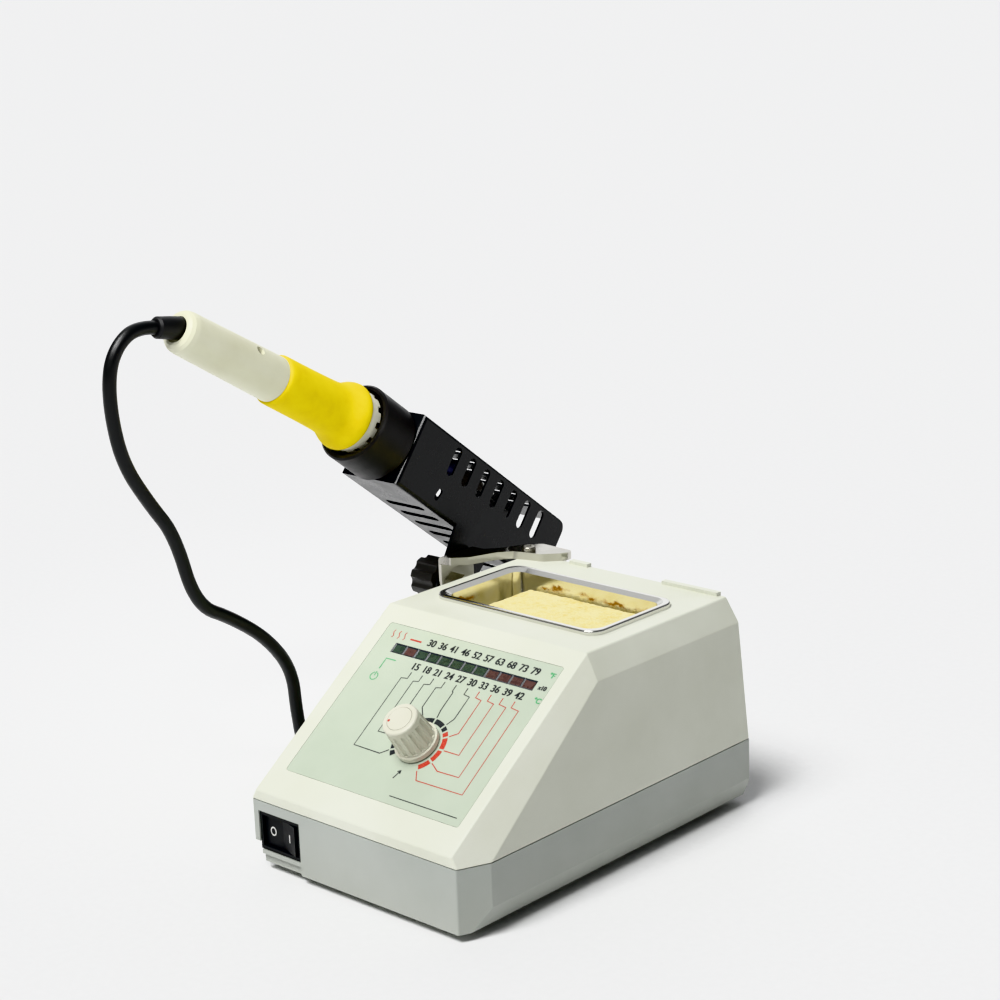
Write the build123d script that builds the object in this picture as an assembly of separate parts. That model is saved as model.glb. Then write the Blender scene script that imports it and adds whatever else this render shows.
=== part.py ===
from build123d import *
import math
import os

# A soldering iron station: a two-part moulded case with a sloping panel, a sponge tray in its top,
# and an iron that rests in a tilting holder on a steel bracket beside the case.
# X points to the station's right, Y to its rear and Z up. The driving sizes are in millimetres.

# Case
CASE_W = 115.0
CASE_L = 160.0
CASE_TOP = 84.5
SEAM_Z = 27.3
SEAM_GAP = 0.4
CASE_FLOOR = 3.0
WALL = 2.4
CORNER_X = 5.6
CORNER_Y = 11.8
PANEL_ANGLE = 35.9
PANEL_TOP_Y = -6.5
TOP_HALF_W = 49.8
SHOULDER_Z = 75.0
SHOULDER_HALF_W = 55.3
REAR_LEAN = 3.6
SKIRT_Z = 10.8
SKIRT_INSET = 3.5
EDGE_ROUND = 1.3
FOOT_R = 5.5
FOOT_X, FOOT_Y = 43.0, 67.0
SCREW_X = 47.0
SCREW_YS = (-48.0, 54.0)

# The case's centre from the origin, which is the centre of the whole station's footprint
CASE_X, CASE_Y = 23.1, -19.0

# Control panel; s runs up the slope from its top edge, so all s values are negative
LABEL_W, LABEL_H, LABEL_S = 87.5, 71.3, -43.75
LABEL_X = 1.0
LABEL_T = 0.35
LABEL_RECESS = 0.4
LIGHT_COUNT = 12
LIGHT_BAR_X, LIGHT_BAR_S = 2.0, -18.35
LIGHT_BAR_W, LIGHT_BAR_H = 71.8, 4.4
DIAL_X, DIAL_S = 6.5, -53.7
DIAL_R, DIAL_H = 8.6, 15.4
DIAL_FLUTES = 14
SHAFT_R = 3.0
BUSH_R = 3.5
BOARD_DEPTH = 14.4

# Power switch, in the front wall
SWITCH_X, SWITCH_Z = -38.1, 15.6
SWITCH_W, SWITCH_H = 21.6, 15.0
ROCKER_TILT = 7.0

# Sponge tray
TRAY_Y = 32.2
TRAY_W, TRAY_L, TRAY_R = 82.4, 48.8, 6.5
TRAY_DEPTH = 17.0
PAN_W, PAN_L = 75.6, 42.0
SHEET = 0.7
SPONGE_X, SPONGE_W, SPONGE_T = 3.4, 66.0, 8.8

# Holder, tilted so that the iron's handle points forwards and up
HOLDER_TILT = 37.8
HOLDER_X, HOLDER_Y, HOLDER_Z = -87.0, 30.0, 135.0
GUARD_L, GUARD_W, GUARD_H = 104.0, 32.0, 31.0
GUARD_SHEET = 1.0
SLOT_COUNT, SLOT_PITCH, SLOT_FIRST, SLOT_W = 7, 10.2, 25.5, 4.0
PIVOT_Y, PIVOT_Z = 51.5, 74.0
LUG_R = 10.5
COLLAR_R, COLLAR_L = 16.7, 20.0
BRACKET_T = 1.5
BRACKET_H = 3.2
FLANGE_X = -70.6
STUD_R = 2.5

# Iron, measured along its own axis from the handle's rear end
IRON_TILT = 30.7
IRON_Y, IRON_Z = -71.2, 198.4
GRIP_START, GRIP_END = 51.7, 95.6
RING_END = 101.0
BARREL_R, BARREL_END = 5.0, 162.0
TIP_END = 192.0
RELIEF_TILT = 10.0
RELIEF_L = 10.0

# Iron's cord
CORD_R = 2.6
COIL_X, COIL_Y, COIL_R = -35.0, 128.0, 28.0
BUSH_X, BUSH_Z, BUSH_L = -5.0, 12.0, 22.0
JOIN = (-87.0, -75.5, 108.0)
UPPER_ROUTE = [
    (-87.0, -81.06, 200.65), (-87.0, -89.4, 202.12), (-87.2, -98.0, 197.2), (-87.5, -102.8, 188.0),
    (-87.6, -103.2, 172.0), (-87.5, -99.6, 153.5), (-87.2, -89.6, 136.8), (-87.0, -79.1, 122.4),
    JOIN,
]
LOWER_ROUTE = [
    JOIN, (-87.0, -71.8, 93.2), (-87.2, -54.6, 83.8), (-87.6, -37.0, 70.5), (-87.8, -25.3, 54.5),
    (-87.6, -24.4, 36.0), (-87.0, -21.8, 17.6), (-86.0, -9.5, 4.6), (-84.6, 9.0, 2.7),
    (-82.0, 29.5, 2.6), (-82.6, 52.0, 2.6), (-78.0, 74.0, 2.6), (-70.0, 93.0, 2.6),
    (-66.2, 111.0, 2.7), (-65.6, 127.0, 2.7),
]
TAIL_ROUTE = [
    (-4.3, 128.0, 7.9), (-4.2, 118.4, 8.6), (-4.7, 110.0, 11.3), (-5.0, 102.2, 12.0),
]

PANEL = Plane(
    origin=(0, PANEL_TOP_Y, CASE_TOP),
    x_dir=(1, 0, 0),
    z_dir=(0, -math.sin(math.radians(PANEL_ANGLE)), math.cos(math.radians(PANEL_ANGLE))),
)


def tilted_plane(x, y, z, tilt):
    """A frame whose first axis points rearwards and down, and whose second points up."""
    angle = math.radians(tilt)
    return Plane(origin=(x, y, z), x_dir=(0, math.cos(angle), -math.sin(angle)), z_dir=(1, 0, 0))


HOLDER = tilted_plane(HOLDER_X, HOLDER_Y, HOLDER_Z, HOLDER_TILT)
IRON = tilted_plane(HOLDER_X, IRON_Y, IRON_Z, IRON_TILT)


def block(x0, x1, y0, y1, z0, z1):
    """A box between its limits."""
    return Pos((x0 + x1) / 2, (y0 + y1) / 2, (z0 + z1) / 2) * Box(x1 - x0, y1 - y0, z1 - z0)


def rounded_block(width, length, height, radius):
    """A block standing on its origin, with rounded upright corners."""
    return extrude(RectangleRounded(width, length, radius), height)


def rod(radius, z0, z1):
    """A cylinder along Z between two heights."""
    return Pos(0, 0, (z0 + z1) / 2) * Cylinder(radius, z1 - z0)


def rod_x(radius, x0, x1):
    """A cylinder along X between two places."""
    return Rot(0, 90, 0) * rod(radius, x0, x1)


def rod_y(radius, y0, y1):
    """A cylinder along Y between two places."""
    return Rot(-90, 0, 0) * rod(radius, y0, y1)


def turned(points):
    """A solid turned about the X axis from (along, radius) points."""
    outline = make_face(Polyline(*[(a, r) for a, r in points], close=True))
    return revolve(outline, Axis.X, 360)


def trimmed(body, point, normal):
    """The body with all that lies outside a plane removed."""
    outside = Plane(origin=point, z_dir=normal) * Box(500, 500, 300, align=(Align.CENTER, Align.CENTER, Align.MIN))
    return body - outside


def outward(a, b, c, inside):
    """The unit normal of the plane through three points, pointing away from a fourth."""
    a, b, c, inside = Vector(a), Vector(b), Vector(c), Vector(inside)
    normal = (b - a).cross(c - a).normalized()
    return normal * -1 if normal.dot(inside - a) > 0 else normal


def trimmed_by(body, planes, inset):
    """The body trimmed by planes of three points each, every plane moved inwards by the inset."""
    for a, b, c in planes:
        normal = outward(a, b, c, (0, 20, 40))
        body = trimmed(body, Vector(a) - normal * inset, normal)
    return body


def upper_planes():
    """The outside faces of the upper shell, each by three of its points."""
    half_w, half_l = CASE_W / 2, CASE_L / 2
    drop = math.tan(math.radians(PANEL_ANGLE))
    panel_low = (-76.7, CASE_TOP + (-76.7 - PANEL_TOP_Y) * drop)
    planes = [
        ((0, -half_l, 30), (10, -half_l, 30), (0, -half_l, 50)),
        ((0, half_l, SEAM_Z), (10, half_l, SEAM_Z), (0, half_l - REAR_LEAN, CASE_TOP)),
        ((0, PANEL_TOP_Y, CASE_TOP), (10, PANEL_TOP_Y, CASE_TOP), (0, *panel_low)),
    ]
    for side in (-1, 1):
        foot = (side * half_w, 0, SEAM_Z)
        shoulder = (side * SHOULDER_HALF_W, 0, SHOULDER_Z)
        edge = (side * TOP_HALF_W, 0, CASE_TOP)
        planes.append((foot, (side * half_w, 50, SEAM_Z), shoulder))
        planes.append((shoulder, (side * SHOULDER_HALF_W, 50, SHOULDER_Z), edge))
        planes.append((
            (side * TOP_HALF_W, PANEL_TOP_Y, CASE_TOP),
            (side * TOP_HALF_W, *panel_low),
            (side * half_w, -half_l + CORNER_Y, SEAM_Z),
        ))
    return planes


def upper_block(inset, low):
    """The upper shell's outside form, or with an inset the hollow in it."""
    half_w, half_l = CASE_W / 2 + 1, CASE_L / 2 + 1
    start = block(-half_w, half_w, -half_l, half_l, low, CASE_TOP - inset)
    return trimmed_by(start, upper_planes(), inset)


def upper_shell():
    low = SEAM_Z + SEAM_GAP / 2
    outside = upper_block(0, low)
    edges = [e for e in outside.edges() if e.center().Z > low + 1]
    shell = fillet(edges, EDGE_ROUND) - upper_block(WALL, low - 1)
    label_bed = Pos(LABEL_X, LABEL_S, -LABEL_RECESS) * rounded_block(LABEL_W + 0.3, LABEL_H + 0.3, 5, 1.2)
    light_slot = Pos(LIGHT_BAR_X, LIGHT_BAR_S, -5) * Box(LIGHT_BAR_W + 0.4, LIGHT_BAR_H + 0.4, 12)
    bush_hole = Pos(DIAL_X, DIAL_S) * rod(BUSH_R + 0.1, -6, 3)
    shell -= PANEL * label_bed
    shell -= PANEL * light_slot
    shell -= PANEL * bush_hole
    shell -= Pos(0, TRAY_Y, CASE_TOP - 8) * rounded_block(PAN_W + 1.2, PAN_L + 1.2, 12, 5.4)
    for x0, x1 in ((-27.5, -18.0), (20.0, 47.0)):
        shell += block(x0, x1, 73.6, 76.2, CASE_TOP - 0.5, CASE_TOP + 1.4)
    for row in range(6):
        shell -= block(-26, 26, 70, 90, 42 + 5 * row, 44.2 + 5 * row)
    for x in (-SCREW_X, SCREW_X):
        for y in SCREW_YS:
            shell += Pos(x, y, 0) * rod(3.8, low, CASE_TOP + 1) & upper_block(1.0, low)
            shell -= Pos(x, y, 0) * rod(1.5, low - 1, low + 12)
    for x in (-36, 36):
        for s in (-27, -72):
            pillar = rod(3.0, -BOARD_DEPTH, -WALL + 0.3) - rod(1.2, -BOARD_DEPTH - 1, -5)
            shell += PANEL * Pos(x, s) * pillar
    shell -= Pos(-46.5, 70.5, 0) * rod(1.6, 70, 90)
    return shell


def lower_plan(inset):
    """The lower shell's plan, with its two front corners cut off."""
    half_w, half_l = CASE_W / 2 - inset, CASE_L / 2 - inset
    points = [
        (-half_w, half_l), (-half_w, -half_l + CORNER_Y), (-half_w + CORNER_X, -half_l),
        (half_w - CORNER_X, -half_l), (half_w, -half_l + CORNER_Y), (half_w, half_l),
    ]
    return make_face(Polyline(*points, close=True))


def skirt_trim(body, inset):
    """The body with its long lower edges drawn in."""
    for side in (-1, 1):
        a = (side * CASE_W / 2, 0, SKIRT_Z)
        b = (side * CASE_W / 2, 50, SKIRT_Z)
        c = (side * (CASE_W / 2 - SKIRT_INSET), 0, CASE_FLOOR)
        body = trimmed_by(body, [(a, b, c)], inset)
    return body


def lower_shell():
    high = SEAM_Z - SEAM_GAP / 2
    outside = Pos(0, 0, CASE_FLOOR) * extrude(lower_plan(0), high - CASE_FLOOR)
    outside = skirt_trim(outside, 0)
    upright = [e for e in outside.edges() if e.length > 10 and abs((e @ 1).Z - (e @ 0).Z) > 8]
    outside = fillet(upright, 0.9)
    hollow = Pos(0, 0, CASE_FLOOR + WALL) * extrude(lower_plan(WALL), 40)
    shell = outside - skirt_trim(hollow, WALL)
    half_w, half_h = SWITCH_W / 2 + 0.15, SWITCH_H / 2 + 0.15
    low, top = SWITCH_Z - half_h, SWITCH_Z + half_h
    front = -CASE_L / 2
    shell -= block(SWITCH_X - half_w, SWITCH_X + half_w, front - 1, front + 8, low, top)
    shell -= block(-60, SWITCH_X + half_w, front - 1, front + 1.2, 0, low - 1.6)
    shell -= block(-60, SWITCH_X - half_w + 1, front - 1, front + 6, 0, low + 3)
    chin = block(-54, SWITCH_X + half_w + 2, front + 1.2, front + 9, CASE_FLOOR, low - 0.05)
    shell += chin - block(-60, SWITCH_X - half_w + 1, front - 1, front + 6, 0, low + 3)
    for x in (-FOOT_X, FOOT_X):
        for y in (-FOOT_Y, FOOT_Y):
            shell -= Pos(x, y, 0) * rod(FOOT_R + 0.1, 0, CASE_FLOOR + 0.8)
    for x in (-SCREW_X, SCREW_X):
        for y in SCREW_YS:
            shell += Pos(x, y, 0) * rod(4.6, CASE_FLOOR + 1, high)
            shell -= Pos(x, y, 0) * rod(1.8, 0, high + 1)
            shell -= Pos(x, y, 0) * rod(3.3, 0, CASE_FLOOR + 5)
    for row in range(9):
        shell -= block(-30, 30, -34 + 6 * row, -31.4 + 6 * row, 0, 8)
    shell -= Pos(BUSH_X, 0, BUSH_Z) * rod_y(5.1, 70, 90)
    shell -= Pos(30, 0, 14) * rod_y(6.1, 70, 90)
    return shell


def feet():
    foot = rod(FOOT_R, 0, CASE_FLOOR + 0.8)
    foot = fillet(foot.edges().sort_by(Axis.Z)[:1], 0.8)
    return [Pos(x, y, 0) * foot for x in (-FOOT_X, FOOT_X) for y in (-FOOT_Y, FOOT_Y)]


def pan_screw(radius, length, head_r, head_h):
    """A screw that points down from its head, whose underside is at the origin."""
    head = fillet(rod(head_r, 0, head_h).edges().sort_by(Axis.Z)[-1:], head_h * 0.45)
    slots = Pos(0, 0, head_h) * (Box(head_r * 1.1, 0.5, 0.9) + Box(0.5, head_r * 1.1, 0.9))
    return head + rod(radius, -length, 0) - slots


def case_screws():
    """The four screws that hold the case together, driven up from below."""
    screw = Rot(180, 0, 0) * pan_screw(1.45, 26, 2.9, 2.2)
    return [Pos(x, y, CASE_FLOOR + 5) * screw for x in (-SCREW_X, SCREW_X) for y in SCREW_YS]


def front_label():
    sheet = Pos(LABEL_X, LABEL_S, -LABEL_RECESS) * rounded_block(LABEL_W, LABEL_H, LABEL_T, 1.0)
    sheet -= Pos(LIGHT_BAR_X, LIGHT_BAR_S) * Box(LIGHT_BAR_W + 0.05, LIGHT_BAR_H + 0.05, 4)
    sheet -= Pos(DIAL_X, DIAL_S) * rod(BUSH_R + 1.6, -3, 3)
    return PANEL * sheet


def light_window():
    return PANEL * Pos(LIGHT_BAR_X, LIGHT_BAR_S, -0.85) * Box(LIGHT_BAR_W, LIGHT_BAR_H, 1.5)


def level_lights():
    """Twelve rectangular lights in a row, standing on the board."""
    pitch = LIGHT_BAR_W / LIGHT_COUNT
    light = Pos(0, 0, -BOARD_DEPTH / 2 - 1.0) * Box(pitch - 1.0, LIGHT_BAR_H - 1.0, BOARD_DEPTH - 2.2)
    first = LIGHT_BAR_X - LIGHT_BAR_W / 2 + pitch / 2
    return [PANEL * Pos(first + pitch * k, LIGHT_BAR_S) * light for k in range(LIGHT_COUNT)]


def control_board():
    board = Pos(0, -45, -BOARD_DEPTH - 0.85) * Box(86, 62, 1.6)
    for x in (-36, 36):
        for s in (-27, -72):
            board -= Pos(x, s) * rod(1.6, -BOARD_DEPTH - 3, 0)
    return PANEL * board


def board_screws():
    screw = Rot(180, 0, 0) * pan_screw(1.15, 7, 2.5, 1.7)
    back = -BOARD_DEPTH - 1.7
    return [PANEL * Pos(x, s, back) * screw for x in (-36, 36) for s in (-27, -72)]


def board_parts():
    """The larger components on the back of the board."""
    back = -BOARD_DEPTH - 1.7
    parts = [Pos(-18, -40, back - 6.5) * Cylinder(5.0, 13)]
    parts.append(Pos(-18, -54, back - 5.5) * Cylinder(4.0, 11))
    parts.append(Pos(4, -38, back - 2) * Box(22, 8, 4))
    parts.append(Pos(4, -52, back - 2) * Box(12, 8, 4))
    for k in range(5):
        parts.append(Pos(-8 + 6 * k, -64, back - 1.2) * Box(2.4, 7, 2.4))
    return [PANEL * part for part in parts]


def heat_sink():
    """A finned plate that cools the switching device."""
    back = -BOARD_DEPTH - 1.7
    sink = Pos(27, -48, back - 8) * Box(2, 30, 16)
    for k in range(4):
        sink += Pos(31, -59 + 7.4 * k, back - 8) * Box(8, 1.4, 16)
    return PANEL * sink


def dial_control():
    """The rotary control's body and its threaded bush."""
    body = rod(8.2, -BOARD_DEPTH + 0.1, -6)
    bush = rod(BUSH_R, -6.5, 3.6)
    hollow = rod(SHAFT_R + 0.05, -10, 5)
    return PANEL * Pos(DIAL_X, DIAL_S) * (body + bush - hollow)


def dial_nut():
    nut = extrude(RegularPolygon(5.2, 6), 2.0) - rod(BUSH_R + 0.02, -1, 4)
    washer = rod(4.7, -0.35, 0.05) - rod(BUSH_R + 0.02, -1, 1)
    return PANEL * Pos(DIAL_X, DIAL_S) * (Pos(0, 0, 0.05) * nut + washer)


def dial_shaft():
    return PANEL * Pos(DIAL_X, DIAL_S) * rod(SHAFT_R, -9.5, 12.6)


def dial_knob():
    """A fluted knob on a round skirt, hollow beneath to clear the nut."""
    skirt = rod(DIAL_R, 0.6, 2.4)
    cone = Pos(0, 0, 2.4) * extrude(Circle(DIAL_R - 0.9), DIAL_H - 2.4, taper=3.2)
    knob = skirt + fillet(cone.edges().sort_by(Axis.Z)[-1:], 0.9)
    for k in range(DIAL_FLUTES):
        groove = Pos(DIAL_R - 0.35, 0, 0) * Rot(0, -3.2, 0) * rod(1.15, 3.0, DIAL_H - 2.4)
        knob -= Rot(0, 0, 360 / DIAL_FLUTES * k) * groove
    knob -= rod(5.7, 0, 4.2)
    knob -= rod(SHAFT_R, 0, 12.6)
    knob -= rod(5.1, DIAL_H - 0.5, DIAL_H + 1)
    return PANEL * Pos(DIAL_X, DIAL_S) * knob


def dial_cap():
    cap = rod(5.0, DIAL_H - 0.5, DIAL_H + 0.2)
    return PANEL * Pos(DIAL_X, DIAL_S) * fillet(cap.edges().sort_by(Axis.Z)[-1:], 0.3)


def switch_frame():
    """The switch's housing, open at the front for its rocker."""
    front = -CASE_L / 2 + 0.5
    half_w, half_h = SWITCH_W / 2, SWITCH_H / 2
    frame = block(-half_w, half_w, front, front + 2.2, -half_h, half_h)
    frame += block(-9.9, 9.9, front, front + 17, -7.0, 7.0)
    frame -= block(-9.5, 9.5, front - 1, front + 8.5, -6.1, 6.1)
    frame -= Pos(0, front + 2.6, 0) * rod(1.05, -7.0, 7.0)
    return Pos(SWITCH_X, 0, SWITCH_Z) * frame


def rocker():
    """The rocker, resting with its left half pressed in."""
    outline = make_face(Polyline(
        (-9.0, -2.3), (0, -1.1), (9.0, -2.3), (9.0, 0.9), (3.0, 3.0), (-3.0, 3.0), (-9.0, 0.9),
        close=True,
    ))
    body = Pos(0, 0, -5.8) * extrude(outline, 11.6)
    body += rod(1.0, -6.8, 6.8)
    front = -CASE_L / 2 + 0.5
    return Pos(SWITCH_X, front + 2.6, SWITCH_Z) * Rot(0, 0, -ROCKER_TILT) * body


def switch_blades():
    """The switch's three terminals."""
    back = -CASE_L / 2 + 17.6
    return [block(SWITCH_X + x - 0.4, SWITCH_X + x + 0.4, back, back + 8, 12.5, 18.5) for x in (-6, 0, 6)]


def transformer_core():
    """A stack of steel laminations round the winding."""
    core = block(-30, 30, 19, 47, 9, 59)
    core -= block(-20, -9, 10, 60, 19, 49)
    return core - block(9, 20, 10, 60, 19, 49)


def transformer_winding():
    """The bobbin and its winding, round the core's middle limb."""
    winding = block(-19.8, 19.8, 12, 54, 19.2, 48.8)
    winding = fillet(winding.edges().filter_by(Axis.Z), 4)
    limb = block(-9, 9, 18.9, 47.1, 9, 59)
    return winding - limb


def transformer_strap():
    """A steel strap over the core, with a foot at each end."""
    strap = block(-31.4, 31.4, 26, 40, 7.4, 60.4) - block(-30.05, 30.05, 25, 41, 0, 59.05)
    for side in (-1, 1):
        x0, x1 = sorted((side * 30.05, side * 41))
        strap += block(x0, x1, 26, 40, 7.4, 8.6)
        strap -= Pos(side * 36.5, 33, 0) * rod(1.8, 0, 20)
    return strap


def transformer_bed():
    """Two moulded blocks that lift the transformer off the floor of the case."""
    beds = []
    for side in (-1, 1):
        bed = Pos(side * 36.5, 33, 0) * (rod(4.2, CASE_FLOOR + WALL, 7.35) - rod(1.45, 0, 20))
        beds.append(bed)
    return beds


def transformer_screws():
    screw = pan_screw(1.45, 2.6, 2.9, 2.0)
    return [Pos(side * 36.5, 33, 8.65) * screw for side in (-1, 1)]


def bush(x, z, bore, neck, tip, length):
    """A tapered rubber bush with a flange against the rear wall and a groove in the wall."""
    rear = CASE_L / 2
    outline = [
        (rear - WALL - 1.6, bore), (rear - WALL - 1.6, neck + 1.3), (rear - WALL - 0.05, neck + 1.3),
        (rear - WALL - 0.05, neck), (rear + 0.05, neck), (rear + 0.05, neck + 1.6),
        (rear + 2.6, neck + 1.6), (rear + 3.4, neck - 0.2), (rear + length, tip), (rear + length, bore),
    ]
    return Pos(x, 0, z) * Rot(0, 0, 90) * turned(outline)


def tray():
    """A pressed steel pan with a turned rim that hangs on the case."""
    low, rim = CASE_TOP - TRAY_DEPTH, CASE_TOP + 0.1
    edge = Pos(0, TRAY_Y, rim) * rounded_block(TRAY_W, TRAY_L, 1.8, TRAY_R)
    edge = fillet(edge.edges().group_by(Axis.Z)[-1], 0.8)
    pan = edge + Pos(0, TRAY_Y, low) * rounded_block(PAN_W, PAN_L, TRAY_DEPTH + 0.2, 5.0)
    inside = RectangleRounded(PAN_W - 2 * SHEET, PAN_L - 2 * SHEET, 4.3)
    hollow = Pos(0, TRAY_Y, low + SHEET) * extrude(inside, 30)
    sloped_band = Pos(0, TRAY_Y, rim + 0.5) * extrude(inside, 1.5, taper=-60)
    return pan - hollow - sloped_band


def sponge():
    low = CASE_TOP - TRAY_DEPTH + SHEET + 0.1
    pad = Pos(SPONGE_X, TRAY_Y, low) * rounded_block(SPONGE_W, PAN_L - 3.0, SPONGE_T, 3.0)
    return fillet(pad.edges().group_by(Axis.Z)[-1], 1.0)


def bracket():
    """A pressed steel arm on the case's rear corner, turned down at its left end for the holder."""
    low, top = CASE_TOP + 0.05, CASE_TOP + BRACKET_H
    left = FLANGE_X
    outline = Polyline(
        (left, 42), (-65, 43.4), (-59.6, 48.6), (-57.4, 54.4), (-55.2, 60.4), (-51, 65.4),
        (-44.6, 67.6), (-38.4, 69.2), (-33.2, 74.4), (-29.6, 80.4), (-48, 81), (-54, 75),
        (-58.5, 66), (-63, 61), (left, 61), close=True,
    )
    arm = Pos(0, 0, low) * extrude(make_face(outline), top - low)
    arm = fillet([e for e in arm.edges().filter_by(Axis.Z) if e.center().X > left + 1], 2.2)
    arm = fillet([e for e in arm.edges().filter_by(Axis.Y) if e.center().X < left + 1][-1:], 1.6)
    flange = block(left, left + BRACKET_T, 42, 61, PIVOT_Z, low)
    flange += Pos(0, PIVOT_Y, PIVOT_Z) * rod_x(9.5, left, left + BRACKET_T)
    arm += flange - Pos(0, PIVOT_Y, PIVOT_Z) * rod_x(STUD_R + 0.2, left - 5, left + 5)
    arm += block(-45, -34, 77.9, 79.3, 76.5, low)
    return arm - Pos(-46.5, 70.5, 0) * rod(1.8, 70, 100)


def bracket_screw():
    return Pos(-46.5, 70.5, CASE_TOP + BRACKET_H + 0.02) * pan_screw(1.5, 9, 2.8, 1.8)


def bracket_nut():
    """The nut fixed to the flange, which the clamp screw runs in."""
    nut = extrude(RegularPolygon(4.6, 6), 4) - rod(STUD_R + 0.05, -1, 6)
    return Pos(FLANGE_X + BRACKET_T + 0.02, PIVOT_Y, PIVOT_Z) * Rot(0, 90, 0) * nut


def clamp_knob():
    """A lobed knob that clamps the holder's lug against the flange."""
    right = FLANGE_X - GUARD_SHEET - 0.9
    knob = rod_x(9.0, right - 16, right - 3.6)
    for k in range(8):
        angle = math.radians(45 * k)
        groove = Pos(0, 10.6 * math.cos(angle), 10.6 * math.sin(angle)) * rod_x(2.7, right - 20, right)
        knob -= groove
    knob = fillet([e for e in knob.edges() if e.center().X < right - 15.9], 0.8)
    knob += rod_x(5.2, right - 4, right)
    return Pos(0, PIVOT_Y, PIVOT_Z) * (knob - rod_x(STUD_R, right - 12, right + 1))


def clamp_stud():
    right = FLANGE_X - GUARD_SHEET - 0.9
    return Pos(0, PIVOT_Y, PIVOT_Z) * rod_x(STUD_R, right - 12, FLANGE_X + 7.5)


def pivot_in_holder():
    """The tilt axis in the holder's own frame."""
    angle = math.radians(HOLDER_TILT)
    dy, dz = PIVOT_Y - HOLDER_Y, PIVOT_Z - HOLDER_Z
    return dy * math.cos(angle) - dz * math.sin(angle), dy * math.sin(angle) + dz * math.cos(angle)


def obround(length, width, depth):
    """A slot cutter with round ends, along X and deep along Z."""
    return extrude(SlotOverall(length, width), depth / 2, both=True)


def guard():
    """A folded steel box with cooling slots, and a lug on its right side."""
    half_w, half_h = GUARD_W / 2, GUARD_H / 2
    box = block(0, GUARD_L, -half_h, half_h, -half_w, half_w)
    box = fillet(box.edges().filter_by(Axis.X) + box.edges().filter_by(Axis.Y).sort_by(Axis.X)[:2], 1.6)
    inner = block(
        GUARD_SHEET, GUARD_L + 1, -half_h + GUARD_SHEET, half_h - GUARD_SHEET,
        -half_w + GUARD_SHEET, half_w - GUARD_SHEET,
    )
    box -= fillet(inner.edges().filter_by(Axis.X), 0.7)
    end = block(GUARD_L - 5, GUARD_L + 1, half_h - 5, half_h + 1, -40, 40)
    box -= end - Pos(GUARD_L - 5, half_h - 5) * rod(5, -40, 40)
    side = Rot(0, 0, 90) * obround(12.6, SLOT_W, 3 * GUARD_W)
    across = Rot(90, 0, 0) * Rot(0, 0, 90) * obround(21, SLOT_W, GUARD_H + 10)
    for k in range(SLOT_COUNT):
        along = SLOT_FIRST + SLOT_PITCH * k
        box -= Pos(along, 6.8, 0) * side
        box -= Pos(along, 0, 0) * across
    box -= Pos(24.5, -8.5, half_w) * Rot(0, 0, 75) * obround(5.4, 2.4, 8)
    box -= rod_x(10.6, -1, 3)
    for k in range(4):
        box -= Rot(45 + 90 * k, 0, 0) * Pos(0, 12.4, 0) * rod_x(1.35, -1, 3)
    along, up = pivot_in_holder()
    lug = make_face(Polyline((41.0, -half_h + 2), (66.5, -half_h + 2), (along + LUG_R, up), (along - LUG_R, up), close=True))
    lug = extrude(lug, GUARD_SHEET) + Pos(along, up) * rod(LUG_R, 0, GUARD_SHEET)
    lug -= Pos(along, up) * rod(STUD_R + 0.08, -3, 3)
    return HOLDER * (box + Pos(0, 0, half_w - GUARD_SHEET) * lug)


def holder_collar():
    """A moulded ring with a stepped mouth that the iron's front ring sits in."""
    ring = turned([
        (-COLLAR_L, 14.75), (-COLLAR_L, COLLAR_R - 0.8), (-COLLAR_L + 0.8, COLLAR_R), (-1.4, COLLAR_R),
        (-0.05, COLLAR_R - 1.2), (-0.05, 10.2), (-13.6, 10.2), (-15.4, 13.9), (-16.4, 14.75),
    ])
    for k in range(4):
        ring -= Rot(45 + 90 * k, 0, 0) * Pos(0, 12.4, 0) * rod_x(1.3, -9, 1)
    return HOLDER * ring


def collar_screws():
    screw = Rot(0, 90, 0) * pan_screw(1.25, 8, 2.0, 1.2)
    return [HOLDER * Rot(45 + 90 * k, 0, 0) * Pos(GUARD_SHEET + 0.02, 12.4, 0) * screw for k in range(4)]


def iron_handle():
    """A slim moulded tube, open at the rear for the cord and narrower under the grip."""
    return IRON * (turned([
        (0, 5.2), (0, 6.2), (0.7, 7.4), (2.0, 8.2), (4.0, 8.5), (GRIP_START - 0.1, 9.3),
        (GRIP_START - 0.1, 8.0), (GRIP_END - 4, 8.0), (GRIP_END - 4, 6.4), (6, 6.4), (6, 5.2),
    ]) - screw_hole(1.9, 2.6))


def screw_hole(radius, depth):
    """The handle screw's hole, square to the handle on its upper right."""
    return Pos(36, 0, 0) * Rot(45, 0, 0) * Rot(-90, 0, 0) * rod(radius, 9.1 - depth - 3, 12)


def handle_screw():
    screw = Pos(36, 0, 0) * Rot(45, 0, 0) * Rot(-90, 0, 0) * Pos(0, 0, 6.6) * pan_screw(0.9, 3.4, 1.7, 1.2)
    return IRON * screw


def cord_clamp():
    """A saddle inside the handle that the screw pulls against the cord."""
    saddle = turned([(30, 1.9), (30, 5.2), (42, 5.2), (42, 1.9)])
    saddle -= Pos(36, 0, 0) * Rot(45, 0, 0) * Rot(-90, 0, 0) * rod(0.92, 0, 12)
    return IRON * saddle


def foam_grip():
    """A soft sleeve that flares into a flange in front of the fingers."""
    return IRON * turned([
        (GRIP_START, 8.05), (GRIP_START, 9.4), (GRIP_START + 1.2, 10.2), (78, 10.6), (84, 10.9),
        (87.5, 11.7), (90, 12.9), (92, 13.8), (94, 14.1), (95.1, 13.8), (GRIP_END, 13.2), (GRIP_END, 8.05),
    ])


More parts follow.
